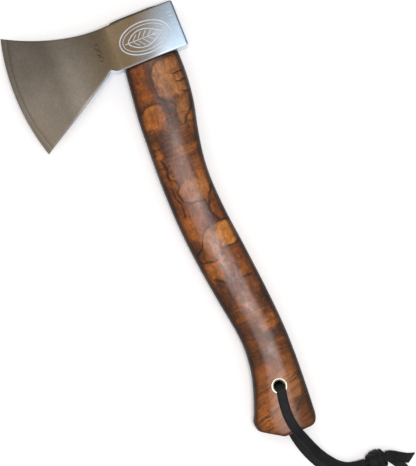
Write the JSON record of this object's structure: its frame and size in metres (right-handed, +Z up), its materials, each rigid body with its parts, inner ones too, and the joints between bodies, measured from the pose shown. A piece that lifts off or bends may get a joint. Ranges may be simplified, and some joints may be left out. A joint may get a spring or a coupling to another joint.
{
  "type": "hatchet",
  "caption": "One-handed hatchet lying on its cheek: flared bit, flat poll, wedged walnut haft with a fawn's-foot butt, and a knotted leather wrist lace through a sleeved hole.",
  "frame": {"origin": "on the surface that the hatchet lies on, under the middle of the box round its head and haft; the lanyard is not counted", "axes": "+Y along the haft towards the head, -X towards the cutting edge, +Z up, square to the cheek it lies on"},
  "size_m": [0.1984, 0.4581, 0.027],
  "materials": {
    "forged_steel": "satin, ground and lightly oiled",
    "walnut": "oiled, figured walnut",
    "pale_hardwood": "end grain, oiled",
    "wedge_steel": "dark, hammered",
    "sleeve_brass": "pale and polished",
    "black_leather": "smooth grain with a slight sheen"
  },
  "bodies": {
    "root": {"head": "forged_steel", "haft": "walnut", "wooden_wedge": "pale_hardwood", "front_steel_wedge": "wedge_steel", "rear_steel_wedge": "wedge_steel", "lanyard_sleeve": "sleeve_brass", "lace_front_strand": "black_leather", "lace_rear_strand": "black_leather", "lace_knot": "black_leather", "lace_front_tail": "black_leather", "lace_rear_tail": "black_leather"}
  },
  "joints": []
}
